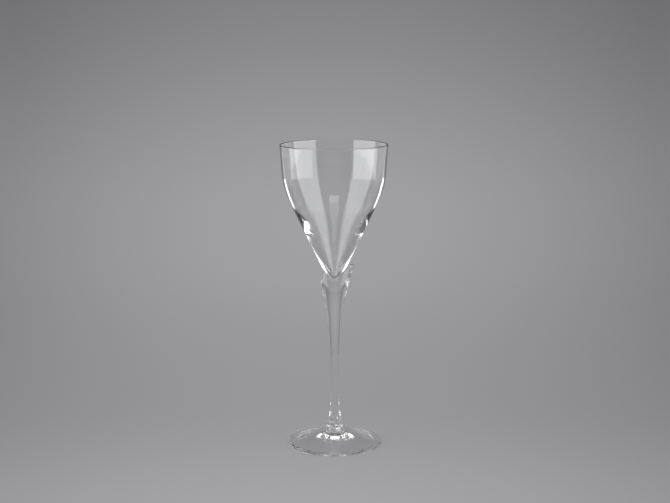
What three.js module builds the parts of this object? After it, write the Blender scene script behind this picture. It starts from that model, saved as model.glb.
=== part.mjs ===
// A red wine glass of clear crystal, made hot in five gathers that are fused end to end:
// foot, merese, stem, calyx and bowl. Millimetres, +Z up, origin on the table under the axis.
import {
  BufferAttribute,
  CubicBezierCurve,
  Group,
  LatheGeometry,
  MathUtils,
  Mesh,
  MeshStandardMaterial,
  QuadraticBezierCurve,
  Vector2,
} from 'three';

// Heights of the pieces, from the table up
const footHeight = 12.8;
const mereseHeight = 2.6;
const stemLength = 56.6;
const funnelHeight = 49;
const bowlHeight = 104;

// Foot: a disc that rises gently to a small bell under the merese, and is hollowed underneath
const footRadius = 35;
const footEdgeThickness = 3.2;
const footEdgeRounding = 1.3;
const restingRingWidth = 3.5;
const footHollowDepth = 4.8;
const neckRadius = 5.2;
const neckFlare = 1.4;
const neckFall = 3.4;
const bellReach = 2.2;
const bellFall = 6;

// Merese: the bead between the foot and the stem
const mereseBulge = 0.9;

// Stem: a drawn rod that swells at its lower end
const stemFootRadius = 5;
const stemWaistRadius = 3;
const stemTopRadius = 3.45;
const swellHeight = 24.6;
const swellHold = 4.9;
const swellTurn = 8.6;
const waistLength = 12;
const drawTurn = 12;

// Calyx: the funnel over the stem, drawn up into two leaves that hold the bowl
const shoulderRadius = 9.4;
const shoulderDrop = 3;
const funnelFootFlare = 1.15;
const funnelFootRise = 16;
const funnelTopFlare = 3.2;
const funnelTopFall = 13;
const notchRise = 5.2;
const closedLeafRise = 10.9;
const openLeafRise = 12.9;
const openTipRise = 2.8;
const openTipTurn = MathUtils.degToRad(12);
const openTipSharpness = 16;
const openLeafReach = 4.7;
const openLeafTurn = MathUtils.degToRad(7);
const openLeafSharpness = 10;
const openLeafThickness = 2;
const openLeafDepth = 3.2;
const openLeafHollow = 0.35;
const rearSteepness = 2;
const leafEdge = 0.8;
const leafContact = 0.5;
const notchSoftness = 0.12;

// How far the leaves swell out from the socket, and how high over the bowl's seat
const closedLeafSwell = 5.9;
const openLeafSwell = 7;
const leafSwellRise = 5;
const notchSwell = 5.5;
const notchSwellRise = 3;

// Bowl: a pointed cone below, a nearly upright wall above
const bowlSeatRadius = 2.7;
const coneHeight = 59;
const coneTopRadius = 31;
const upperWallHeight = 20;
const upperWallFlare = 1.35;
const rimRadius = 39.45;
const rimWall = 1.1;
const upperWallThickness = 1.7;
const coneWall = 2.3;
const coneWallHold = 10;
const cavityFloorRise = 8;
const cavityTipRadius = 0.8;
const cavityTipDepth = 0.4;
const cavityPullRise = 38;
const cavityPullShare = 0.66;

// The bowl rests flat in the calyx, and its cone keeps this clearance to the socket round it
const socketClearance = 0.3;

// Facets round the glass, and along its curves
const roundSteps = 64;
const stemRoundSteps = 32;
const longCurveSteps = 12;
const curveSteps = 8;
const gentleCurveSteps = 4;
const lipSteps = 4;

// Points that lie closer than this are one point of an outline
const samePoint = 1e-6;

// Levels that the pieces share
const mereseLevel = footHeight;
const stemLevel = mereseLevel + mereseHeight;
const calyxLevel = stemLevel + stemLength;
const bowlLevel = calyxLevel + funnelHeight;
const rimLevel = bowlLevel + bowlHeight;

const crystal = { color: 0xdfe3e6, roughness: 0.02, metalness: 0, transparent: true, opacity: 0.35 };

function at(radius, height) {
  return new Vector2(radius, height);
}

// Joins curves and points into one outline, leaving out the points where two of them meet
function outline(...stretches) {
  const points = [];
  for (const stretch of stretches) {
    const next = stretch.isVector2 ? [stretch] : stretch;
    for (const point of next) {
      const last = points[points.length - 1];
      if (!last || last.distanceTo(point) > samePoint) points.push(point);
    }
  }
  return points;
}

function named(name, geometry) {
  const mesh = new Mesh(geometry, new MeshStandardMaterial(crystal));
  mesh.name = name;
  return mesh;
}

// Turns an outline round the Z axis; the outline runs upwards along the outside
function turned(name, points, steps) {
  const geometry = new LatheGeometry(points, steps);
  geometry.rotateX(Math.PI / 2);
  return named(name, geometry);
}

// The points of an arc, for rounded edges and lips
function rounded(centre, radius, fromAngle, toAngle) {
  const points = [];
  for (let step = 0; step <= lipSteps; step += 1) {
    const angle = MathUtils.lerp(fromAngle, toAngle, step / lipSteps);
    points.push(at(centre.x + radius * Math.cos(angle), centre.y + radius * Math.sin(angle)));
  }
  return points;
}

// The foot's edge is rounded above and below, and it stands on a flat ring inside the rounding
function makeFoot() {
  const rounding = Math.min(footEdgeRounding, footEdgeThickness / 2);
  const edgeCentre = footRadius - rounding;
  const ringInside = edgeCentre - restingRingWidth;
  const hollow = new QuadraticBezierCurve(
    at(0, footHollowDepth),
    at(ringInside / 2, footHollowDepth),
    at(ringInside, 0),
  );
  const lowerEdge = rounded(at(edgeCentre, rounding), rounding, -Math.PI / 2, 0);
  const upperCentre = at(edgeCentre, footEdgeThickness - rounding);
  const upperEdge = rounded(upperCentre, rounding, 0, Math.PI / 2);
  const bell = new CubicBezierCurve(
    at(edgeCentre, footEdgeThickness),
    at(neckRadius + bellReach, footHeight - bellFall),
    at(neckRadius + neckFlare, footHeight - neckFall),
    at(neckRadius, footHeight),
  );
  const points = outline(
    hollow.getPoints(gentleCurveSteps),
    lowerEdge,
    upperEdge,
    bell.getPoints(longCurveSteps),
    at(0, footHeight),
  );
  return turned('foot', points, roundSteps);
}

// The bead is as wide as the foot's neck below, and as the stem above, and bulges between them
function makeMerese() {
  const side = [];
  for (let step = 0; step <= curveSteps; step += 1) {
    const share = step / curveSteps;
    const seat = MathUtils.lerp(neckRadius, stemFootRadius, share);
    side.push(at(seat + mereseBulge * Math.sin(Math.PI * share), mereseLevel + mereseHeight * share));
  }
  const points = outline(at(0, mereseLevel), side, at(0, stemLevel));
  return turned('merese', points, roundSteps);
}

// The rod narrows from the swell at its foot to the waist, and widens a little again to the funnel
function makeStem() {
  const waistFoot = stemLevel + swellHeight;
  const waistTop = waistFoot + waistLength;
  const swell = new CubicBezierCurve(
    at(stemFootRadius, stemLevel),
    at(stemFootRadius, stemLevel + swellHold),
    at(stemWaistRadius, stemLevel + swellTurn),
    at(stemWaistRadius, waistFoot),
  );
  const draw = new QuadraticBezierCurve(
    at(stemWaistRadius, waistTop),
    at(stemWaistRadius, waistTop + drawTurn),
    at(stemTopRadius, calyxLevel),
  );
  const points = outline(
    at(0, stemLevel),
    swell.getPoints(longCurveSteps),
    draw.getPoints(gentleCurveSteps),
    at(0, calyxLevel),
  );
  return turned('stem', points, stemRoundSteps);
}

// The bowl's outer radius along its cone, which the calyx's socket follows
function coneRadius(height) {
  const share = (height - bowlLevel) / coneHeight;
  return MathUtils.lerp(bowlSeatRadius, coneTopRadius, share);
}

// Where the line of the cone meets the line of the upper wall, for the curve between them
function wallCorner(foot, coneTop, wallFoot, rim) {
  const coneSlope = (coneTop.x - foot.x) / (coneTop.y - foot.y);
  const wallSlope = (rim.x - wallFoot.x) / (rim.y - wallFoot.y);
  const height = (wallFoot.x - coneTop.x + coneSlope * coneTop.y - wallSlope * wallFoot.y)
    / (coneSlope - wallSlope);
  return at(coneTop.x + coneSlope * (height - coneTop.y), height);
}

// One face of the bowl's wall: a straight cone, a curve, and the nearly upright wall to the rim
function bowlWall(foot, coneTop, wallFoot, rim) {
  const corner = wallCorner(foot, coneTop, wallFoot, rim);
  return outline(foot, new QuadraticBezierCurve(coneTop, corner, wallFoot).getPoints(curveSteps), rim);
}

// The cavity follows the cone a little way down from its top, and then draws in to a narrow tip: the wall
// grows thick over the lower half of the cone. The pull is the point that the curve from the tip aims at.
function makeCavity(coneTop, wallFoot, rim) {
  const coneSlope = (coneTopRadius - bowlSeatRadius) / coneHeight;
  const hold = at(coneTop.x - coneSlope * coneWallHold, coneTop.y - coneWallHold);
  const pullLevel = bowlLevel + cavityPullRise;
  const pull = at(coneRadius(pullLevel) * cavityPullShare, pullLevel);
  const tip = at(cavityTipRadius, bowlLevel + cavityFloorRise);
  const lower = new CubicBezierCurve(tip, pull, hold, coneTop).getPoints(longCurveSteps);
  return outline(lower, bowlWall(hold, coneTop, wallFoot, rim).slice(1));
}

// The bowl's wall thickens down its cone, which is solid from its seat to the cavity's rounded tip
function makeBowl() {
  const coneTopLevel = bowlLevel + coneHeight;
  const wallLevel = rimLevel - upperWallHeight;
  const rimRounding = rimWall / 2;
  const rimCentreLevel = rimLevel - rimRounding;
  const outside = bowlWall(
    at(bowlSeatRadius, bowlLevel),
    at(coneTopRadius, coneTopLevel),
    at(rimRadius - upperWallFlare, wallLevel),
    at(rimRadius, rimCentreLevel),
  );
  const inside = makeCavity(
    at(coneTopRadius - coneWall, coneTopLevel),
    at(rimRadius - upperWallFlare - upperWallThickness, wallLevel),
    at(rimRadius - rimWall, rimCentreLevel),
  );
  const rim = rounded(at(rimRadius - rimRounding, rimCentreLevel), rimRounding, 0, Math.PI);
  const points = outline(
    at(0, bowlLevel),
    outside,
    rim,
    inside.reverse(),
    at(0, bowlLevel + cavityFloorRise - cavityTipDepth),
  );
  return turned('bowl', points, roundSteps);
}

// A point on the socket's wall, which follows the bowl's cone at its clearance
function socketPoint(height) {
  return at(coneRadius(height) + socketClearance, height);
}

// How strongly a leaf's tip, turned by an angle, is felt at another: 1 there, and 0 half way round
function tipShare(angle, turn, sharpness) {
  return Math.max(0, Math.cos(angle - turn)) ** sharpness;
}

// The calyx's edge at an angle: its height over the bowl's seat, and the shares of leaf and opening.
// The open leaf falls gently to the notch in front, and steeply to the one behind.
function leafEdgeAt(angle) {
  const across = Math.cos(angle);
  const behind = across > 0 && Math.sin(angle) > 0;
  const leaf = (Math.hypot(across, notchSoftness) - notchSoftness) ** (behind ? rearSteepness : 1);
  const leafRise = MathUtils.lerp(notchRise, across > 0 ? openLeafRise : closedLeafRise, leaf);
  const rise = leafRise + openTipRise * tipShare(angle, openTipTurn, openTipSharpness);
  const open = tipShare(angle, openLeafTurn, openLeafSharpness);
  const swell = MathUtils.lerp(closedLeafSwell, openLeafSwell, Math.sqrt(open));
  return { rise, leaf, open, swell };
}

// One cross-section of the calyx at an angle, from the axis below to the axis in the socket
function calyxSection(angle) {
  const { rise, leaf, open, swell } = leafEdgeAt(angle);
  const edgeLevel = bowlLevel + rise;
  const shoulder = at(shoulderRadius, bowlLevel - shoulderDrop);
  const funnel = new CubicBezierCurve(
    at(stemTopRadius, calyxLevel),
    at(stemTopRadius + funnelFootFlare, calyxLevel + funnelFootRise),
    at(shoulderRadius - funnelTopFlare, shoulder.y - funnelTopFall),
    shoulder,
  );
  const belly = socketPoint(bowlLevel + MathUtils.lerp(notchSwellRise, leafSwellRise, leaf));
  belly.x += MathUtils.lerp(notchSwell, swell, leaf);
  const edge = socketPoint(edgeLevel);
  edge.x += leafEdge + openLeafReach * open;
  const leafCurve = new QuadraticBezierCurve(shoulder, belly, edge);

  // The edge is a round lip between the leaf's outer face and its inner face
  const lean = edge.clone().sub(belly).normalize();
  const openInside = at(edge.x - openLeafThickness * lean.y, edge.y + openLeafThickness * lean.x);
  const closedInside = socketPoint(edgeLevel - leafContact / 2);
  const inside = closedInside.clone().lerp(openInside, open);
  const middle = edge.clone().add(inside).multiplyScalar(0.5);
  const towardsEdge = edge.clone().sub(middle);
  const lip = rounded(middle, towardsEdge.length(), towardsEdge.angle(), towardsEdge.angle() + Math.PI);

  // Inside, the open leaf runs down in a hollow to where it meets the socket's wall
  const contact = socketPoint(inside.y - leafContact - openLeafDepth * open);
  const hollow = contact.clone().add(inside).multiplyScalar(0.5);
  hollow.y -= openLeafHollow * open;
  const innerFace = new QuadraticBezierCurve(inside, hollow, contact);
  return [
    at(0, calyxLevel),
    ...funnel.getPoints(longCurveSteps),
    ...leafCurve.getPoints(longCurveSteps).slice(1, -1),
    ...lip,
    ...innerFace.getPoints(gentleCurveSteps).slice(1),
    socketPoint(bowlLevel),
    at(0, bowlLevel),
  ];
}

// A lathe whose outline changes with the angle
function makeCalyx() {
  const template = calyxSection(0);
  const geometry = new LatheGeometry(template, roundSteps);
  const positions = geometry.getAttribute('position').array.slice();
  for (let turn = 0; turn <= roundSteps; turn += 1) {
    const angle = (2 * Math.PI * (turn % roundSteps)) / roundSteps;
    calyxSection(angle).forEach((point, row) => {
      const start = 3 * (turn * template.length + row);
      positions[start] = point.x * Math.cos(angle);
      positions[start + 1] = point.x * Math.sin(angle);
      positions[start + 2] = point.y;
    });
  }
  geometry.setAttribute('position', new BufferAttribute(positions, 3));
  return named('calyx', geometry);
}

const glass = new Group();
glass.add(makeFoot(), makeMerese(), makeStem(), makeCalyx(), makeBowl());

export default glass;
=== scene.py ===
"""A red wine glass of clear crystal, in five pieces fused hot: foot, merese, stem, calyx and bowl."""

import math

import bpy
from bpy.props import FloatProperty, FloatVectorProperty, IntProperty, PointerProperty
from bpy.types import Operator, Panel, PropertyGroup
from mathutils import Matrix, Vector


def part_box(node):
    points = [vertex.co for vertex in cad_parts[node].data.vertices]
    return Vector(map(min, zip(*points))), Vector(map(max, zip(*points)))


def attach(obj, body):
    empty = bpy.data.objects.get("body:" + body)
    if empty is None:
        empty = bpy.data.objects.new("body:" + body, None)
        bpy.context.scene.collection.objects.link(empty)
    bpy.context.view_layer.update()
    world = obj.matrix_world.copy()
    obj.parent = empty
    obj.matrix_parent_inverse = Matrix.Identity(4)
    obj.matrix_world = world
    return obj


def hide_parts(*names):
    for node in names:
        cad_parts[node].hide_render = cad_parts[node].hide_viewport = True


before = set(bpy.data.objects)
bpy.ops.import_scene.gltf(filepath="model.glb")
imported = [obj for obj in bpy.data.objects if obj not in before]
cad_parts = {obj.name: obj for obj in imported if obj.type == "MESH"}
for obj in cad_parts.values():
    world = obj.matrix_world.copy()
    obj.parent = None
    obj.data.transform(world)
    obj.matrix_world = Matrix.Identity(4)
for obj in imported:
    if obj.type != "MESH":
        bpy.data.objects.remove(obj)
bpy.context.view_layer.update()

bl_info = {
    "name": "Wine glass",
    "version": (1, 0, 0),
    "blender": (4, 5, 0),
    "location": "View3D > Sidebar > Wine glass",
    "description": "Models a leaf-calyx red wine glass of clear crystal, piece by piece",
    "category": "Add Mesh",
}

MM = 0.001
FULL_TURN = 2 * math.pi

# Points that lie closer than this are one point
SAME_POINT = 1e-6

# Points that lie this near to where the calyx and the bowl are fused belong to their joint
FUSED = 10 * SAME_POINT

# The paper lies this far under the glass, and the cards of light this far in front of the paper
PAPER_DROP = 0.2 * MM
CARD_GAP = 2 * MM

# Facets of the sweep's bend, and of the screens and cards
BEND_FACETS = 24
SCREEN_FACETS = 16
CARD_FACETS = 12

# The light of the room round the paper is a little cool
ROOM_COLOUR = (1.0, 0.99, 1.01, 1.0)

# Faces that meet at more than this angle keep a sharp edge between them
CREASE_ANGLE = math.radians(32)


def length(name, millimetres, description):
    """A length property, with its default in millimetres."""
    return FloatProperty(
        name=name,
        description=description,
        default=millimetres * MM,
        min=0.0,
        precision=5,
        unit="LENGTH",
    )


def turn(name, degrees, description):
    """An angle property, with its default in degrees."""
    return FloatProperty(
        name=name, description=description, default=math.radians(degrees), unit="ROTATION"
    )


def number(name, default, description):
    """A plain number property."""
    return FloatProperty(name=name, description=description, default=default, min=0.0)


def count(name, default, description):
    """A property that counts facets."""
    return IntProperty(name=name, description=description, default=default, min=3)


def colour(name, default, description):
    """A colour property."""
    return FloatVectorProperty(
        name=name, description=description, default=default, size=3, min=0.0, max=1.0, subtype="COLOR"
    )


def lowest(node):
    """The level of a node's underside, in millimetres."""
    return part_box(node)[0].z / MM


def highest(node):
    """The level of a node's top, in millimetres."""
    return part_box(node)[1].z / MM


def widest(node):
    """A node's radius at its widest, in millimetres."""
    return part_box(node)[1].x / MM


class FootSizes(PropertyGroup):
    """Sizes of the foot: a disc that rises gently to a small bell, hollowed underneath"""

    height: length("Height", highest("foot"), "From the table to the merese")
    radius: length("Radius", widest("foot"), "Half the foot's width")
    edge_thickness: length("Edge thickness", 3.2, "Thickness of the disc at its edge")
    edge_rounding: length("Edge rounding", 1.3, "Radius of the rounded edge")
    ring_width: length("Resting ring", 3.5, "Width of the flat ring that the glass stands on")
    hollow_depth: length("Hollow depth", 4.8, "Depth of the hollow inside the ring")
    neck_radius: length("Neck radius", 5.2, "Radius under the merese")
    neck_flare: length("Neck flare", 1.4, "How far the neck widens before the bell")
    neck_fall: length("Neck fall", 3.4, "How far down the neck's flare acts")
    bell_reach: length("Bell reach", 2.2, "How far out the bell pulls the disc up")
    bell_fall: length("Bell fall", 6.0, "How far under the merese the bell pulls")


class MereseSizes(PropertyGroup):
    """Sizes of the merese, the bead between the foot and the stem"""

    height: length("Height", highest("merese") - lowest("merese"), "Height of the bead")
    bulge: length("Bulge", 0.9, "How far the bead stands out from its seats")


class StemSizes(PropertyGroup):
    """Sizes of the stem, a drawn rod that swells at its lower end"""

    height: length("Length", highest("stem") - lowest("stem"), "From the merese to the calyx")
    foot_radius: length("Foot radius", 5.0, "Radius on the merese")
    waist_radius: length("Waist radius", 3.0, "Radius where the stem is thinnest")
    top_radius: length("Top radius", 3.45, "Radius under the calyx")
    swell_height: length("Swell height", 24.6, "Height of the swell at the lower end")
    swell_hold: length("Swell hold", 4.9, "How far up the swell keeps its width")
    swell_turn: length("Swell turn", 8.6, "How far up the swell turns in to the waist")
    waist_length: length("Waist length", 12.0, "Length of the thinnest stretch")
    draw_turn: length("Draw turn", 12.0, "How far up the rod keeps its waist before it widens")


class CalyxSizes(PropertyGroup):
    """Sizes of the calyx: a funnel that is drawn up into two leaves round the bowl"""

    height: length("Funnel height", lowest("bowl") - lowest("calyx"), "From the stem to the bowl's seat")
    shoulder_radius: length("Shoulder radius", 9.4, "Radius of the funnel under the leaves")
    shoulder_drop: length("Shoulder drop", 3.0, "How far the shoulder lies under the bowl's seat")
    foot_flare: length("Foot flare", 1.15, "How fast the funnel widens from the stem")
    foot_rise: length("Foot rise", 16.0, "How far up the slow widening acts")
    top_flare: length("Top flare", 3.2, "How fast the funnel widens to its shoulder")
    top_fall: length("Top fall", 13.0, "How far down the fast widening acts")
    notch_rise: length("Notch rise", 5.2, "Height of the notches between the leaves")
    closed_rise: length("Closed leaf rise", 10.9, "Height of the leaf that hugs the bowl")
    open_rise: length("Open leaf rise", 12.9, "Height of the leaf that opens")
    tip_rise: length("Tip rise", 2.8, "How much higher the open leaf's tip is drawn")
    tip_turn: turn("Tip turn", 12.0, "How far the tip is turned back")
    tip_sharpness: number("Tip sharpness", 16.0, "How narrow the tip is")
    open_reach: length("Open leaf reach", 4.7, "How far the open leaf stands off the bowl")
    open_turn: turn("Open leaf turn", 7.0, "How far the opening is turned back")
    open_sharpness: number("Open leaf sharpness", 10.0, "How narrow the opening is")
    open_thickness: length("Open leaf thickness", 2.0, "Thickness of the open leaf")
    open_depth: length("Open leaf depth", 3.2, "Depth of the gap behind the open leaf")
    open_hollow: length("Open leaf hollow", 0.35, "How much the open leaf's inner face sags")
    rear_steepness: number("Rear steepness", 2.0, "How much steeper the open leaf falls behind")
    edge: length("Leaf edge", 0.8, "Thickness of a closed leaf's edge")
    notch_softness: number("Notch softness", 0.12, "How round the notches are")
    closed_swell: length("Closed leaf swell", 5.9, "How far the closed leaf swells from the bowl")
    open_swell: length("Open leaf swell", 7.0, "How far the open leaf swells from the bowl")
    swell_rise: length("Leaf swell rise", 5.0, "Where a leaf swells most, over the seat")
    notch_swell: length("Notch swell", 5.5, "How far the glass swells under a notch")
    notch_swell_rise: length("Notch swell rise", 3.0, "Where it swells most under a notch, over the seat")


class BowlSizes(PropertyGroup):
    """Sizes of the bowl: a pointed cone below, a nearly upright wall above"""

    height: length("Height", highest("bowl") - lowest("bowl"), "From the seat in the calyx to the rim")
    seat_radius: length("Seat radius", 2.7, "Radius of the flat that sits in the calyx")
    cone_height: length("Cone height", 59.0, "Height of the cone")
    cone_top_radius: length("Cone top radius", 31.0, "Radius at the top of the cone")
    wall_height: length("Wall height", 20.0, "Height of the nearly upright wall")
    wall_flare: length("Wall flare", 1.35, "How much the upright wall widens to the rim")
    rim_radius: length("Rim radius", widest("bowl"), "Radius of the rim")
    rim_wall: length("Rim wall", 1.1, "Thickness of the wall at the rim")
    upper_wall: length("Upper wall", 1.7, "Thickness at the foot of the upright wall")
    cone_wall: length("Cone wall", 2.3, "Thickness of the wall at the top of the cone")
    cone_wall_hold: length("Cone wall hold", 10.0, "How far down the cavity follows the cone")
    cavity_rise: length("Cavity rise", 8.0, "Height of the cavity's tip over the seat")
    tip_radius: length("Cavity tip radius", 0.8, "Radius of the cavity's rounded tip")
    tip_depth: length("Cavity tip depth", 0.4, "Depth of the cavity's rounded tip")
    pull_rise: length("Cavity pull rise", 38.0, "Height of the point that the cavity's lower curve aims at")
    pull_share: number("Cavity pull share", 0.66, "That point's share of the cone's radius")


class CrystalFinish(PropertyGroup):
    """The look of the glass, and how finely it is modelled"""

    tint: colour("Tint", (0.985, 0.99, 0.99), "Colour of the light that the glass lets through")
    ior: number("Index of refraction", 1.52, "How strongly the glass bends light")
    ripple: number("Ripple", 0.05, "Strength of the faint waves of blown glass")
    ripple_scale: number("Ripple scale", 45.0, "How many waves of blown glass there are to a metre")
    striae: number("Striae", 0.05, "Strength of the faint lines of drawn glass")
    striae_scale: number("Striae scale", 160.0, "How many lines of drawn glass there are to a metre")
    striae_stretch: number("Striae stretch", 0.12, "How many there are along it, for each one round it")
    facets: count("Facets round", 192, "Facets round each piece")
    curve_steps: count("Curve steps", 40, "Facets along a long curve")
    lip_steps: count("Lip steps", 12, "Facets round an edge or lip")


class StageSettings(PropertyGroup):
    """The floor, backdrop, lights and camera"""

    # The floor and backdrop glow with painted light, set out by the settings down to Beyond end: a pool by
    # the glass, lighter towards the backdrop and in front, dimmer higher up, and lighter again far to the
    # sides
    floor_colour: colour("Floor light", (0.965, 0.955, 1.0), "Colour of the light of floor and backdrop")
    paper_colour: colour("Paper colour", (0.05, 0.05, 0.05), "How much of the side light the paper returns")
    pool_width: length("Pool width", 490.0, "Half the width of the pool of light on the floor by the glass")
    pool_widening: number("Pool widening", 0.24, "How much wider the pool gets for its distance")
    pool_aside: length("Pool offset", 20.0, "How far the pool lies to the left")
    near_light: number("Near light", 0.27, "Light of the floor at the glass, in the middle of the pool")
    far_light: number("Far light", 0.325, "Light of the foot of the backdrop, in the middle of the pool")
    near_edge: length("Near edge", 100.0, "How far behind the glass the floor begins to grow lighter")
    far_edge: length("Far edge", 750.0, "How far behind the glass it is at its lightest")
    top_fall: number("Top fall", 0.2, "How much of its light the backdrop loses higher up")
    top_start: length("Top fall start", 800.0, "Where the backdrop begins to lose light, along the paper")
    top_end: length("Top fall end", 1500.0, "Where the backdrop has lost it, along the paper")
    front_gain: number("Front gain", 0.07, "How much lighter the floor is in front of the glass")
    front_edge: length("Front edge", 200.0, "How far in front of the glass the floor is that much lighter")
    beyond_light: number("Light beyond", 0.3, "Light of the paper far to the sides")
    beyond_start: length("Beyond start", 420.0, "Where the light far to the sides begins")
    beyond_end: length("Beyond end", 800.0, "Where the light far to the sides is full")
    room_light: number("Room light", 0.4, "Light of the room round the paper")
    mirrored_room_light: number("Mirrored room light", 0.15, "Light of the room where the glass mirrors it")
    sweep_foot: length("Sweep foot", 550.0, "From the glass to where the floor begins to rise")
    sweep_bend: length("Sweep bend", 350.0, "Radius of the bend between floor and backdrop")
    sweep_reach: length("Sweep reach", 6000.0, "How far the paper reaches to the front, the sides and up")
    camera_distance: length("Camera distance", 983.87, "From the glass's axis to the camera")
    camera_height: length("Camera height", 320.55, "From the table to the camera")
    camera_aside: length("Camera offset", 1.2, "How far the camera stands to the right of the axis")
    camera_tilt: turn("Camera tilt", 10.062, "How far the camera looks down")
    camera_roll: turn("Camera roll", 0.22, "How far the camera is rolled")
    lens: number("Lens", 73.07, "Focal length in millimetres, on a sensor 36 mm wide")
    right_distance: length("Right screen distance", 720.0, "From the glass to the right screens")
    left_distance: length("Left screen distance", 770.0, "From the glass to the left screens")
    right_start: turn("Right screen start", 42.0, "The right screens' front edge, from the camera")
    left_start: turn("Left screen start", 46.0, "The left screens' front edge, from the camera")
    screen_span: turn("Screen span", 62.0, "How far round the glass each screen reaches")
    low_height: length("Low screen height", 170.0, "Height of the low screens, which stand on the floor")
    tall_height: length("Tall screen height", 1200.0, "Height of the top of the tall screens over them")
    low_light: number("Low screen light", 2.5, "Radiance of the low screens")
    tall_light: number("Tall screen light", 2.7, "Radiance of the tall screens")
    panel_distance: length("Panel distance", 900.0, "From the glass's axis to the panel over the camera")
    panel_level: length("Panel level", 1750.0, "From the table to the middle of the panel")
    panel_aim: length("Panel aim", 200.0, "The height on the glass's axis that the panel faces")
    panel_width: length("Panel width", 800.0, "Width of the panel")
    panel_height: length("Panel height", 1300.0, "Height of the panel, up its own slope")
    panel_light: number("Panel light", 1.6, "Radiance of the panel")
    card_light: number("Rear card light", 3.0, "Radiance of the two bright cards on the sweep behind")
    card_start: turn("Rear card start", 22.0, "The rear cards' inner edge, from straight behind the glass")
    card_end: turn("Rear card end", 34.0, "The rear cards' outer edge, from straight behind the glass")
    card_near: length("Rear card near edge", 540.0, "From the glass to the near edge of the rear cards")
    card_far: length("Rear card far edge", 740.0, "From the glass to the far edge of the rear cards")
    dim_light: number("Dim card light", 0.45, "Radiance of the dim cards beyond them")
    dim_start: turn("Dim card start", 12.0, "The dim cards' inner edge, from straight behind the glass")
    dim_far: length("Dim card far edge", 960.0, "From the glass to the far edge of the dim cards")
    front_light: number("Front card light", 3.0, "Radiance of the small card that stands by the camera")
    front_start: turn("Front card start", 2.0, "The front card's inner edge, to the right of the camera")
    front_end: turn("Front card end", 22.0, "The front card's outer edge, to the right of the camera")
    front_distance: length("Front card distance", 1500.0, "From the glass to the front card")
    front_low: length("Front card foot", 100.0, "Height of the lower edge of the front card")
    front_high: length("Front card top", 700.0, "Height of the upper edge of the front card")


def at(radius, height):
    """A point of an outline."""
    return Vector((radius, height))


def bezier(controls, steps):
    """Points along a Bezier curve."""
    points = []
    for step in range(steps + 1):
        row = [Vector(point) for point in controls]
        while len(row) > 1:
            row = [a.lerp(b, step / steps) for a, b in zip(row, row[1:])]
        points.append(row[0])
    return points


def arc(centre, radius, start, end, steps):
    """Points along an arc, for rounded edges and lips."""
    points = []
    for step in range(steps + 1):
        angle = start + (end - start) * step / steps
        points.append(centre + radius * at(math.cos(angle), math.sin(angle)))
    return points


def outline(*stretches):
    """Joins curves and points into one outline, without the points where two of them meet."""
    points = []
    for stretch in stretches:
        for point in [stretch] if isinstance(stretch, Vector) else stretch:
            if not points or (points[-1] - point).length > SAME_POINT:
                points.append(point)
    return points


def lerp(a, b, share):
    """The value at a share of the way from a to b."""
    return a + (b - a) * share


def draw_line(points):
    """Draws a line of vertices through these points, and stays in edit mode."""
    bpy.ops.object.select_all(action="DESELECT")
    bpy.ops.mesh.primitive_plane_add(size=MM, enter_editmode=True, location=(0, 0, 0))
    bpy.ops.mesh.merge(type="CENTER")
    bpy.ops.transform.translate(value=points[0])
    for last, point in zip(points, points[1:]):
        bpy.ops.mesh.extrude_vertices_move(TRANSFORM_OT_translate={"value": point - last})


def turned(name, points, facets):
    """A piece that is turned on the axis: its outline is drawn point by point, and spun round."""
    draw_line([Vector((point.x, 0, point.y)) for point in points])
    bpy.ops.mesh.select_all(action="SELECT")
    bpy.ops.mesh.spin(steps=facets, angle=FULL_TURN, center=(0, 0, 0), axis=(0, 0, 1))
    bpy.ops.mesh.remove_doubles(threshold=SAME_POINT)
    bpy.ops.mesh.normals_make_consistent(inside=False)
    bpy.ops.object.mode_set(mode="OBJECT")
    piece = bpy.context.object
    piece.name = name
    piece.data.name = name
    return piece


def finish_piece(piece, material, is_joint):
    """Smooths a piece, and gives it its glass, and the clear joint where it is fused to the next piece."""
    piece.data.materials.append(material)
    piece.data.materials.append(joint_material())
    places = [vertex.co for vertex in piece.data.vertices]
    for face in piece.data.polygons:
        if all(is_joint(places[vertex]) for vertex in face.vertices):
            face.material_index = 1
    bpy.ops.object.select_all(action="DESELECT")
    piece.select_set(True)
    bpy.context.view_layer.objects.active = piece
    bpy.ops.object.shade_smooth_by_angle(angle=CREASE_ANGLE)
    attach(piece, "root")
    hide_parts(piece.name.split("_")[0])


def on_level(*levels):
    """Says whether a vertex lies on one of these levels."""
    return lambda place: any(abs(place.z - level) < SAME_POINT for level in levels)


def levels(scene):
    """The levels of the merese, stem, calyx, bowl and rim."""
    merese = scene.glass_foot.height
    stem = merese + scene.glass_merese.height
    calyx = stem + scene.glass_stem.height
    bowl = calyx + scene.glass_calyx.height
    return merese, stem, calyx, bowl, bowl + scene.glass_bowl.height


def cone_radius(bowl, height):
    """The cone's outer radius, at a height over the bowl's seat."""
    return lerp(bowl.seat_radius, bowl.cone_top_radius, height / bowl.cone_height)


def tip_share(angle, aim, sharpness):
    """How strongly a leaf's tip is felt at an angle: 1 at the tip, and 0 half way round."""
    return max(0.0, math.cos(angle - aim)) ** sharpness


def calyx_edge(scene, angle):
    """The calyx's rise at an angle, its shares of leaf and opening, and how far it swells."""
    calyx = scene.glass_calyx
    across = math.cos(angle)
    behind = across > 0 and math.sin(angle) > 0
    softness = calyx.notch_softness
    leaf = (math.hypot(across, softness) - softness) ** (calyx.rear_steepness if behind else 1)
    leaf_rise = calyx.open_rise if across > 0 else calyx.closed_rise
    rise = lerp(calyx.notch_rise, leaf_rise, leaf)
    rise += calyx.tip_rise * tip_share(angle, calyx.tip_turn, calyx.tip_sharpness)
    opening = tip_share(angle, calyx.open_turn, calyx.open_sharpness)
    swell = lerp(calyx.closed_swell, calyx.open_swell, math.sqrt(opening))
    return rise, leaf, opening, swell


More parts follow.
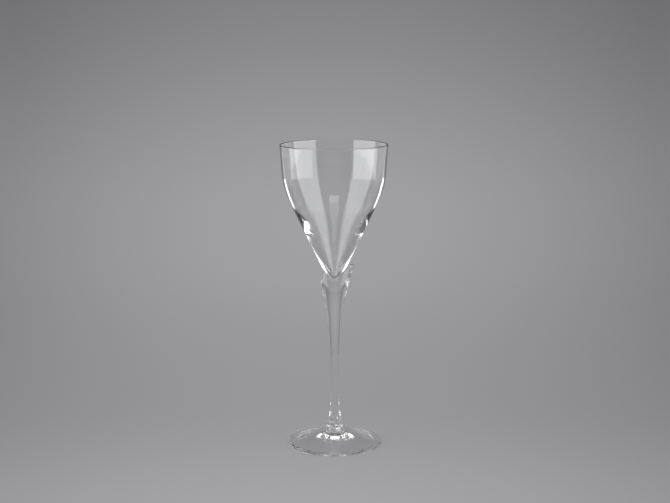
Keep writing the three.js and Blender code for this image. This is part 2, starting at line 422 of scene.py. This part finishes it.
def calyx_lip(scene, angle):
    """The curve and points of a leaf's edge at an angle: belly, edge, inside and contact."""
    calyx, bowl = scene.glass_calyx, scene.glass_bowl
    rise, leaf, opening, swell = calyx_edge(scene, angle)
    belly_rise = lerp(calyx.notch_swell_rise, calyx.swell_rise, leaf)
    belly = at(cone_radius(bowl, belly_rise) + lerp(calyx.notch_swell, swell, leaf), belly_rise)
    edge = at(cone_radius(bowl, rise) + calyx.edge + calyx.open_reach * opening, rise)
    lean = (edge - belly).normalized()
    open_inside = edge + calyx.open_thickness * at(-lean.y, lean.x)
    inside = at(cone_radius(bowl, rise), rise).lerp(open_inside, opening)
    contact_rise = inside.y - calyx.open_depth * opening
    contact = at(cone_radius(bowl, contact_rise), contact_rise)
    hollow = contact.lerp(inside, 0.5) - at(0, calyx.open_hollow * opening)
    return belly, edge, inside, hollow, contact


def calyx_section(scene, angle):
    """The calyx's outline at an angle, from the axis below to the axis in the socket."""
    calyx, finish = scene.glass_calyx, scene.glass_finish
    seat = levels(scene)[3]
    shoulder = at(calyx.shoulder_radius, seat - calyx.shoulder_drop)
    stem_top = at(scene.glass_stem.top_radius, seat - calyx.height)
    funnel = bezier(
        [
            stem_top,
            stem_top + at(calyx.foot_flare, calyx.foot_rise),
            shoulder - at(calyx.top_flare, calyx.top_fall),
            shoulder,
        ],
        finish.curve_steps,
    )
    belly, edge, inside, hollow, contact = [
        point + at(0, seat) for point in calyx_lip(scene, angle)
    ]
    leaf = bezier([shoulder, belly, edge], finish.curve_steps)
    middle = edge.lerp(inside, 0.5)
    outwards = edge - middle
    start = math.atan2(outwards.y, outwards.x)
    lip = arc(middle, outwards.length, start, start + math.pi, finish.lip_steps)
    inner = bezier([inside, hollow, contact], finish.lip_steps)
    seat_edge = at(scene.glass_bowl.seat_radius, seat)
    return [at(0, stem_top.y), *funnel, *leaf[1:-1], *lip, *inner[1:], seat_edge, at(0, seat)]


def contact_height(scene, angle):
    """The level up to which the calyx is fused to the bowl at an angle."""
    return levels(scene)[3] + calyx_lip(scene, angle)[4].y


def in_socket(scene):
    """Says whether a vertex lies where the calyx and the bowl are fused."""
    bowl, seat = scene.glass_bowl, levels(scene)[3]

    def test(place):
        radius = math.hypot(place.x, place.y)
        if abs(place.z - seat) < SAME_POINT:
            return radius < bowl.seat_radius + SAME_POINT
        on_cone = abs(radius - cone_radius(bowl, place.z - seat)) < FUSED
        under_lip = place.z < contact_height(scene, math.atan2(place.y, place.x)) + FUSED
        return on_cone and under_lip and place.z > seat

    return test


def wall_corner(foot, cone_top, wall_foot, rim):
    """Where the line of the cone meets the line of the upper wall."""
    cone_slope = (cone_top.x - foot.x) / (cone_top.y - foot.y)
    wall_slope = (rim.x - wall_foot.x) / (rim.y - wall_foot.y)
    gap = wall_foot.x - cone_top.x - wall_slope * (wall_foot.y - cone_top.y)
    rise = gap / (cone_slope - wall_slope)
    return cone_top + at(cone_slope * rise, rise)


def bowl_wall(foot, cone_top, wall_foot, rim, steps):
    """One face of the bowl's wall: a straight cone, a curve, and the nearly upright wall."""
    corner = wall_corner(foot, cone_top, wall_foot, rim)
    return outline(foot, bezier([cone_top, corner, wall_foot], steps), bezier([wall_foot, rim], steps))


def bowl_cavity(bowl, seat, cone_top, wall_foot, rim, steps):
    """The wall's inner face, which draws in to a narrow tip, so that the wall is thick low down."""
    slope = (bowl.cone_top_radius - bowl.seat_radius) / bowl.cone_height
    hold = cone_top - bowl.cone_wall_hold * at(slope, 1)
    pull = at(cone_radius(bowl, bowl.pull_rise) * bowl.pull_share, seat + bowl.pull_rise)
    tip = at(bowl.tip_radius, seat + bowl.cavity_rise)
    lower = bezier([tip, pull, hold, cone_top], 2 * steps)
    return outline(lower, bowl_wall(hold, cone_top, wall_foot, rim, steps)[1:])


# Materials

def material_nodes(name):
    """A new node material: its nodes, links and Principled shader."""
    material = bpy.data.materials.new(name)
    material.use_nodes = True
    nodes = material.node_tree.nodes
    return material, nodes, material.node_tree.links, nodes["Principled BSDF"]


def hand_worked_group():
    """A node group with the faint relief of hot-worked glass, drawn out along the axis by its Stretch."""
    name = "Hand-worked relief"
    if name in bpy.data.node_groups:
        return bpy.data.node_groups[name]
    group = bpy.data.node_groups.new(name, "ShaderNodeTree")
    group.interface.new_socket("Scale", in_out="INPUT", socket_type="NodeSocketFloat")
    group.interface.new_socket("Stretch", in_out="INPUT", socket_type="NodeSocketFloat")
    group.interface.new_socket("Height", in_out="OUTPUT", socket_type="NodeSocketFloat")
    nodes, links = group.nodes, group.links
    inputs = nodes.new("NodeGroupInput")
    outputs = nodes.new("NodeGroupOutput")
    place = nodes.new("ShaderNodeTexCoord")
    squeeze = nodes.new("ShaderNodeCombineXYZ")
    squeeze.inputs["X"].default_value = 1.0
    squeeze.inputs["Y"].default_value = 1.0
    drawn = nodes.new("ShaderNodeVectorMath")
    drawn.operation = "MULTIPLY"
    noise = nodes.new("ShaderNodeTexNoise")
    noise.inputs["Detail"].default_value = 1.0
    links.new(inputs.outputs["Stretch"], squeeze.inputs["Z"])
    links.new(place.outputs["Object"], drawn.inputs[0])
    links.new(squeeze.outputs["Vector"], drawn.inputs[1])
    links.new(drawn.outputs["Vector"], noise.inputs["Vector"])
    links.new(inputs.outputs["Scale"], noise.inputs["Scale"])
    links.new(noise.outputs["Fac"], outputs.inputs["Height"])
    return group


def crystal_material(name, finish, scale, stretch, strength):
    """Clear polished crystal, with the faint relief that its making leaves."""
    if name in bpy.data.materials:
        return bpy.data.materials[name]
    material, nodes, links, glass = material_nodes(name)
    glass.inputs["Base Color"].default_value = (*finish.tint, 1.0)
    glass.inputs["Roughness"].default_value = 0.0
    glass.inputs["IOR"].default_value = finish.ior
    glass.inputs["Transmission Weight"].default_value = 1.0
    relief = nodes.new("ShaderNodeGroup")
    relief.node_tree = hand_worked_group()
    relief.inputs["Scale"].default_value = scale
    relief.inputs["Stretch"].default_value = stretch
    bump = nodes.new("ShaderNodeBump")
    bump.inputs["Strength"].default_value = strength
    bump.inputs["Distance"].default_value = MM
    links.new(relief.outputs["Height"], bump.inputs["Height"])
    links.new(bump.outputs["Normal"], glass.inputs["Normal"])
    return material


def blown_crystal(finish):
    """The crystal of the bowl, merese and foot, with the broad faint waves of blown and spun glass."""
    return crystal_material("Blown crystal", finish, finish.ripple_scale, 1.0, finish.ripple)


def drawn_crystal(finish):
    """The crystal of the stem and calyx, with faint lines drawn out along it."""
    scale, stretch = finish.striae_scale, finish.striae_stretch
    return crystal_material("Drawn crystal", finish, scale, stretch, finish.striae)


def joint_material():
    """The clear inside of a hot joint, where two pieces are one glass and nothing shows."""
    name = "Fused joint"
    if name in bpy.data.materials:
        return bpy.data.materials[name]
    material, _, _, glass = material_nodes(name)
    glass.inputs["Transmission Weight"].default_value = 1.0
    glass.inputs["Roughness"].default_value = 0.0
    glass.inputs["Alpha"].default_value = 0.0
    return material


# Pieces

class GLASS_OT_foot(Operator):
    """Model the foot: a disc with a rounded edge that rises to a bell"""

    bl_idname = "glass.foot"
    bl_label = "Foot"

    def execute(self, context):
        foot, finish = context.scene.glass_foot, context.scene.glass_finish
        steps = finish.curve_steps
        rounding = min(foot.edge_rounding, foot.edge_thickness / 2)
        edge_centre = foot.radius - rounding
        ring_inside = edge_centre - foot.ring_width
        hollow = bezier(
            [at(0, foot.hollow_depth), at(ring_inside / 2, foot.hollow_depth), at(ring_inside, 0)], steps
        )
        lower = arc(at(edge_centre, rounding), rounding, -math.pi / 2, 0, finish.lip_steps)
        upper_centre = at(edge_centre, foot.edge_thickness - rounding)
        upper = arc(upper_centre, rounding, 0, math.pi / 2, finish.lip_steps)
        bell = bezier(
            [
                at(edge_centre, foot.edge_thickness),
                at(foot.neck_radius + foot.bell_reach, foot.height - foot.bell_fall),
                at(foot.neck_radius + foot.neck_flare, foot.height - foot.neck_fall),
                at(foot.neck_radius, foot.height),
            ],
            steps,
        )
        points = outline(hollow, lower, upper, bell, at(0, foot.height))
        piece = turned("foot_glass", points, finish.facets)
        finish_piece(piece, blown_crystal(finish), on_level(foot.height))
        return {"FINISHED"}


class GLASS_OT_merese(Operator):
    """Model the merese: the bead that joins the foot to the stem"""

    bl_idname = "glass.merese"
    bl_label = "Merese"

    def execute(self, context):
        scene = context.scene
        low, high = levels(scene)[:2]
        side = []
        for step in range(scene.glass_finish.lip_steps + 1):
            share = step / scene.glass_finish.lip_steps
            seat = lerp(scene.glass_foot.neck_radius, scene.glass_stem.foot_radius, share)
            bulge = scene.glass_merese.bulge * math.sin(math.pi * share)
            side.append(at(seat + bulge, lerp(low, high, share)))
        points = outline(at(0, low), side, at(0, high))
        piece = turned("merese_glass", points, scene.glass_finish.facets)
        finish_piece(piece, blown_crystal(scene.glass_finish), on_level(low, high))
        return {"FINISHED"}


class GLASS_OT_stem(Operator):
    """Model the stem: a drawn rod that swells at its lower end"""

    bl_idname = "glass.stem"
    bl_label = "Stem"

    def execute(self, context):
        scene = context.scene
        stem, finish = scene.glass_stem, scene.glass_finish
        low, high = levels(scene)[1:3]
        waist_foot = low + stem.swell_height
        waist_top = waist_foot + stem.waist_length
        swell = bezier(
            [
                at(stem.foot_radius, low),
                at(stem.foot_radius, low + stem.swell_hold),
                at(stem.waist_radius, low + stem.swell_turn),
                at(stem.waist_radius, waist_foot),
            ],
            finish.curve_steps,
        )
        draw = bezier(
            [
                at(stem.waist_radius, waist_top),
                at(stem.waist_radius, waist_top + stem.draw_turn),
                at(stem.top_radius, high),
            ],
            finish.curve_steps,
        )
        points = outline(at(0, low), swell, draw, at(0, high))
        piece = turned("stem_glass", points, finish.facets)
        finish_piece(piece, drawn_crystal(finish), on_level(low, high))
        return {"FINISHED"}


class GLASS_OT_calyx(Operator):
    """Model the calyx: a turned funnel, whose top is drawn up into two leaves"""

    bl_idname = "glass.calyx"
    bl_label = "Calyx"

    def execute(self, context):
        scene = context.scene
        template = calyx_section(scene, 0.0)
        piece = turned("calyx_glass", template, scene.glass_finish.facets)
        self.draw_leaves(scene, piece.data, template)
        self.weld()
        socket, foot = in_socket(scene), on_level(levels(scene)[2])
        finish_piece(piece, drawn_crystal(scene.glass_finish), lambda place: foot(place) or socket(place))
        return {"FINISHED"}

    def draw_leaves(self, scene, mesh, template):
        """Moves each vertex of the turned funnel to its place in the section at its own angle."""
        facets = scene.glass_finish.facets
        sections = {}
        for vertex in mesh.vertices:
            radius, height = math.hypot(vertex.co.x, vertex.co.y), vertex.co.z
            if radius < SAME_POINT:
                continue
            row = min(
                range(len(template)),
                key=lambda i: abs(template[i].x - radius) + abs(template[i].y - height),
            )
            facet = round(math.atan2(vertex.co.y, vertex.co.x) / FULL_TURN * facets) % facets
            angle = FULL_TURN * facet / facets
            if facet not in sections:
                sections[facet] = calyx_section(scene, angle)
            point = sections[facet][row]
            vertex.co = (point.x * math.cos(angle), point.x * math.sin(angle), point.y)

    def weld(self):
        """Merges the rows that the closed leaf has no need of."""
        bpy.ops.object.mode_set(mode="EDIT")
        bpy.ops.mesh.select_all(action="SELECT")
        bpy.ops.mesh.remove_doubles(threshold=SAME_POINT)
        bpy.ops.object.mode_set(mode="OBJECT")


class GLASS_OT_bowl(Operator):
    """Model the bowl: a pointed cone with a nearly upright wall and a polished rim"""

    bl_idname = "glass.bowl"
    bl_label = "Bowl"

    def execute(self, context):
        scene = context.scene
        bowl, finish = scene.glass_bowl, scene.glass_finish
        seat, rim_level = levels(scene)[3:]
        cone_top, wall_foot = seat + bowl.cone_height, rim_level - bowl.wall_height
        rounding = bowl.rim_wall / 2
        rim_centre = rim_level - rounding
        outside = bowl_wall(
            at(bowl.seat_radius, seat),
            at(bowl.cone_top_radius, cone_top),
            at(bowl.rim_radius - bowl.wall_flare, wall_foot),
            at(bowl.rim_radius, rim_centre),
            finish.curve_steps,
        )

        # The ring at the contact follows the leaves, and the ring over it keeps the rest of the cone round
        contact = contact_height(scene, 0.0)
        clear = seat + 2 * scene.glass_calyx.open_rise
        fused = [at(cone_radius(bowl, height - seat), height) for height in (contact, clear)]
        inside = bowl_cavity(
            bowl,
            seat,
            at(bowl.cone_top_radius - bowl.cone_wall, cone_top),
            at(bowl.rim_radius - bowl.wall_flare - bowl.upper_wall, wall_foot),
            at(bowl.rim_radius - bowl.rim_wall, rim_centre),
            finish.curve_steps,
        )
        rim = arc(at(bowl.rim_radius - rounding, rim_centre), rounding, 0, math.pi, finish.lip_steps)
        tip = seat + bowl.cavity_rise - bowl.tip_depth
        points = outline(at(0, seat), outside[0], fused, outside[1:], rim, inside[::-1], at(0, tip))
        piece = turned("bowl_glass", points, finish.facets)
        for vertex in piece.data.vertices:
            radius = math.hypot(vertex.co.x, vertex.co.y)
            if abs(vertex.co.z - contact) < SAME_POINT and abs(radius - fused[0].x) < SAME_POINT:
                angle = math.atan2(vertex.co.y, vertex.co.x)
                height = contact_height(scene, angle)
                radius = cone_radius(bowl, height - seat)
                vertex.co = (radius * math.cos(angle), radius * math.sin(angle), height)
        finish_piece(piece, blown_crystal(finish), in_socket(scene))
        return {"FINISHED"}


# Stage

class GLASS_OT_stage(Operator):
    """Set up the floor, the backdrop, the lights and the camera"""

    bl_idname = "glass.stage"
    bl_label = "Stage"

    def execute(self, context):
        stage = context.scene.glass_stage
        self.floor(stage)
        self.lights(stage)
        self.world(context.scene, stage)
        self.camera(context.scene, stage)
        context.scene.view_settings.view_transform = "Standard"

        # Light crosses many faces of glass on its way to the camera
        context.scene.cycles.max_bounces = 32
        context.scene.cycles.transmission_bounces = 32
        context.scene.cycles.glossy_bounces = 16
        context.scene.cycles.transparent_max_bounces = 64
        return {"FINISHED"}

    def floor(self, stage):
        """A floor that sweeps up into the backdrop."""
        foot, bend = stage.sweep_foot, stage.sweep_bend
        curve = arc(at(foot, bend), bend, -math.pi / 2, 0, BEND_FACETS)
        points = outline(at(-stage.sweep_reach, 0), curve, at(foot + bend, stage.sweep_reach))
        draw_line([Vector((-stage.sweep_reach, point.x, point.y)) for point in points])
        bpy.ops.mesh.select_all(action="SELECT")
        bpy.ops.mesh.extrude_edges_move(TRANSFORM_OT_translate={"value": (2 * stage.sweep_reach, 0, 0)})
        bpy.ops.mesh.select_all(action="SELECT")
        bpy.ops.mesh.normals_make_consistent(inside=True)
        bpy.ops.object.mode_set(mode="OBJECT")
        sweep = bpy.context.object
        sweep.name = "sweep"
        sweep.location.z = -PAPER_DROP
        bpy.ops.object.shade_smooth()
        sweep.data.materials.append(self.lit_paper(stage))

    def lit_paper(self, stage):
        """Paper that looks pale by painted light: it glows with a pool of painted light behind the glass
        that fades up and to the sides.
        """
        material, nodes, links, paper = material_nodes("Lit paper")
        paper.inputs["Base Color"].default_value = (*stage.paper_colour, 1.0)
        paper.inputs["Roughness"].default_value = 0.9
        paper.inputs["Specular IOR Level"].default_value = 0.1
        paper.inputs["Emission Color"].default_value = (*stage.floor_colour, 1.0)
        place = nodes.new("ShaderNodeTexCoord")
        split = nodes.new("ShaderNodeSeparateXYZ")
        links.new(place.outputs["Object"], split.inputs["Vector"])

        def worked_out(operation, *values):
            """What a math node makes of these values."""
            node = nodes.new("ShaderNodeMath")
            node.operation = operation
            for socket, value in zip(node.inputs, values):
                if isinstance(value, float):
                    socket.default_value = value
                else:
                    links.new(value, socket)
            return node.outputs["Value"]

        def faded(value, start, end, start_light, end_light):
            """A smooth change from one light to another, while the value goes from start to end."""
            node = nodes.new("ShaderNodeMapRange")
            node.interpolation_type = "SMOOTHSTEP"
            links.new(value, node.inputs["Value"])
            for name, amount in zip(
                ("From Min", "From Max", "To Min", "To Max"), (start, end, start_light, end_light)
            ):
                node.inputs[name].default_value = amount
            return node.outputs["Result"]

        # Painted light: a pool round the glass that grows lighter towards the backdrop, dims higher up, is
        # lighter in front and lighter again far to the sides, and leaves the glass almost no shadow
        width = worked_out("MULTIPLY_ADD", split.outputs["Y"], stage.pool_widening, stage.pool_width)
        shifted = worked_out("ADD", split.outputs["X"], stage.pool_aside)
        aside = worked_out("DIVIDE", shifted, width)
        squared = worked_out("MULTIPLY", aside, aside)
        pool = worked_out("POWER", math.e, worked_out("MULTIPLY", squared, -1.0))
        along = worked_out("ADD", split.outputs["Y"], split.outputs["Z"])
        rising = faded(along, stage.near_edge, stage.far_edge, stage.near_light, stage.far_light)
        falling = faded(along, stage.top_start, stage.top_end, 0.0, stage.top_fall)
        front = faded(along, -stage.front_edge, stage.near_edge, stage.front_gain, 0.0)
        light = worked_out("ADD", worked_out("SUBTRACT", rising, falling), front)
        far_aside = worked_out("ABSOLUTE", split.outputs["X"])
        beyond = faded(far_aside, stage.beyond_start, stage.beyond_end, 0.0, stage.beyond_light)
        links.new(worked_out("MULTIPLY_ADD", light, pool, beyond), paper.inputs["Emission Strength"])
        return material

    def lights(self, stage):
        """Screens at both sides, a panel over the camera, and cards behind the glass and by the camera."""
        sides = (
            ("right", 1, stage.right_start, stage.right_distance),
            ("left", -1, stage.left_start, stage.left_distance),
        )
        for name, side, start, reach in sides:
            turns = (side * start, side * (start + stage.screen_span))
            middle, top = stage.low_height, stage.tall_height
            low_screen = self.screen(f"{name}_low_screen", turns, reach, 0, middle, stage.low_light)
            tall_screen = self.screen(f"{name}_tall_screen", turns, reach, middle, top, stage.tall_light)
            self.show_mirrored(low_screen, mirrorings=1)
            self.show_mirrored(tall_screen, mirrorings=1)
        self.panel("top_panel", stage)
        for name, side in (("right", 1), ("left", -1)):
            outer = side * stage.card_end
            bright, dim = (side * stage.card_start, outer), (side * stage.dim_start, outer)
            self.card(f"{name}_rear_card", bright, (stage.card_near, stage.card_far), stage.card_light)
            self.card(f"{name}_dim_card", dim, (stage.card_far, stage.dim_far), stage.dim_light)
        turns = (stage.front_start, stage.front_end)
        low, high = stage.front_low, stage.front_high
        front = self.screen("front_card", turns, stage.front_distance, low, high, stage.front_light)
        self.hide_from_outer_face(front)
        self.show_mirrored(front, mirrorings=2)

    def card(self, name, turns, reach, radiance):
        """A glowing card that lies on the sweep behind the glass, between two turns from straight behind.

        The square grid runs from -0.5 to 0.5 both ways, and each vertex goes to its own turn and reach.
        """
        stage = bpy.context.scene.glass_stage
        bpy.ops.object.select_all(action="DESELECT")
        bpy.ops.mesh.primitive_grid_add(x_subdivisions=CARD_FACETS, y_subdivisions=CARD_FACETS, size=1)
        for vertex in bpy.context.object.data.vertices:
            angle = lerp(*turns, vertex.co.x + 0.5)
            away = lerp(*reach, vertex.co.y + 0.5)
            back = away * math.cos(angle)
            bent = min(max(back - stage.sweep_foot, 0.0), stage.sweep_bend)
            level = stage.sweep_bend - math.sqrt(stage.sweep_bend**2 - bent**2)
            vertex.co = (away * math.sin(angle), back - CARD_GAP, level + CARD_GAP)
        card = self.glow(name, radiance)
        self.hide_from_outer_face(card)
        self.show_mirrored(card, mirrorings=1)

    def hide_from_outer_face(self, card):
        """A card shows only inside the glass, and lights no paper."""
        card.visible_diffuse = False
        card.visible_glossy = False
        card.visible_shadow = False

    def screen(self, name, turns, reach, low, high, radiance):
        """A glowing screen that curves round the glass between two turns from the camera."""
        points = []
        for step in range(SCREEN_FACETS + 1):
            angle = lerp(*turns, step / SCREEN_FACETS)
            points.append(Vector((reach * math.sin(angle), -reach * math.cos(angle), low)))
        draw_line(points)
        bpy.ops.mesh.select_all(action="SELECT")
        bpy.ops.mesh.extrude_edges_move(TRANSFORM_OT_translate={"value": (0, 0, high - low)})
        return self.glow(name, radiance)

    def show_mirrored(self, light, mirrorings):
        """Lets a look through the glass pass a light, unless the glass has mirrored it so many times.

        Glossy Depth counts the mirrorings. A ray that doesn't come out of the glass needs one fewer.
        """
        material = light.active_material
        nodes, links = material.node_tree.nodes, material.node_tree.links
        rays = nodes.new("ShaderNodeLightPath")
        mirrored = nodes.new("ShaderNodeMath")
        mirrored.operation = "SUBTRACT"
        mirrored.inputs[1].default_value = mirrorings - 2.0
        shown = nodes.new("ShaderNodeMath")
        shown.operation = "SUBTRACT"
        shown.use_clamp = True
        links.new(rays.outputs["Glossy Depth"], mirrored.inputs[0])
        links.new(mirrored.outputs["Value"], shown.inputs[0])
        links.new(rays.outputs["Is Transmission Ray"], shown.inputs[1])
        links.new(shown.outputs["Value"], nodes["Principled BSDF"].inputs["Alpha"])

    def glow(self, name, radiance):
        """Makes the mesh in hand a light of an even radiance that isn't seen by the camera."""
        bpy.ops.object.mode_set(mode="OBJECT")
        screen = bpy.context.object
        screen.name = name
        bpy.ops.object.shade_smooth()
        material, _, _, glow = material_nodes(name.replace("_", " ").capitalize())
        glow.inputs["Base Color"].default_value = (0.0, 0.0, 0.0, 1.0)
        glow.inputs["Specular IOR Level"].default_value = 0.0
        glow.inputs["Emission Color"].default_value = (1.0, 1.0, 1.0, 1.0)
        glow.inputs["Emission Strength"].default_value = radiance
        screen.data.materials.append(material)
        screen.visible_camera = False
        return screen

    def panel(self, name, stage):
        """A soft panel of an even radiance that faces the glass, and isn't seen by the camera."""
        data = bpy.data.lights.new(name, "AREA")
        data.shape = "RECTANGLE"
        data.size = stage.panel_width
        data.size_y = stage.panel_height
        data.energy = stage.panel_light * math.pi * data.size * data.size_y
        lamp = bpy.data.objects.new(name, data)
        bpy.context.scene.collection.objects.link(lamp)
        lamp.location = (0, -stage.panel_distance, stage.panel_level)
        aim = Vector((0, 0, stage.panel_aim))
        lamp.rotation_euler = (aim - lamp.location).to_track_quat("-Z", "Y").to_euler()
        lamp.visible_camera = False

    def world(self, scene, stage):
        """A grey room, which is dimmer where the glass mirrors it."""
        world = bpy.data.worlds.new("Room")
        world.use_nodes = True
        nodes, links = world.node_tree.nodes, world.node_tree.links
        rays = nodes.new("ShaderNodeLightPath")
        shade = nodes.new("ShaderNodeMapRange")
        shade.inputs["To Min"].default_value = stage.room_light
        shade.inputs["To Max"].default_value = stage.mirrored_room_light
        links.new(rays.outputs["Glossy Depth"], shade.inputs["Value"])
        links.new(shade.outputs["Result"], nodes["Background"].inputs["Strength"])
        nodes["Background"].inputs["Color"].default_value = ROOM_COLOUR
        scene.world = world

    def camera(self, scene, stage):
        """The camera, at the photograph's angle."""
        data = bpy.data.cameras.new("camera")
        data.lens = stage.lens
        data.sensor_width = 36.0
        camera = bpy.data.objects.new("camera", data)
        scene.collection.objects.link(camera)
        camera.location = (stage.camera_aside, -stage.camera_distance, stage.camera_height)
        camera.rotation_euler = (math.pi / 2 - stage.camera_tilt, stage.camera_roll, 0)
        scene.camera = camera


class GLASS_PT_panel(Panel):
    """The glass's pieces and the stage, one button each"""

    bl_label = "Wine glass"
    bl_space_type = "VIEW_3D"
    bl_region_type = "UI"
    bl_category = "Wine glass"

    def draw(self, context):
        for operator in OPERATORS:
            self.layout.operator(operator.bl_idname)


GROUPS = {
    "glass_foot": FootSizes,
    "glass_merese": MereseSizes,
    "glass_stem": StemSizes,
    "glass_calyx": CalyxSizes,
    "glass_bowl": BowlSizes,
    "glass_finish": CrystalFinish,
    "glass_stage": StageSettings,
}

OPERATORS = (
    GLASS_OT_foot,
    GLASS_OT_merese,
    GLASS_OT_stem,
    GLASS_OT_calyx,
    GLASS_OT_bowl,
    GLASS_OT_stage,
)


def register():
    """Registers the sizes, the operators and the panel."""
    for name, group in GROUPS.items():
        bpy.utils.register_class(group)
        setattr(bpy.types.Scene, name, PointerProperty(type=group))
    for operator in OPERATORS:
        bpy.utils.register_class(operator)
    bpy.utils.register_class(GLASS_PT_panel)


def unregister():
    """Takes the panel, the operators and the sizes away again."""
    bpy.utils.unregister_class(GLASS_PT_panel)
    for operator in reversed(OPERATORS):
        bpy.utils.unregister_class(operator)
    for name, group in reversed(GROUPS.items()):
        delattr(bpy.types.Scene, name)
        bpy.utils.unregister_class(group)


def main():
    """Models the glass and its stage."""
    register()
    bpy.ops.glass.foot()
    bpy.ops.glass.merese()
    bpy.ops.glass.stem()
    bpy.ops.glass.calyx()
    bpy.ops.glass.bowl()
    bpy.ops.glass.stage()


if __name__ == "__main__":
    main()
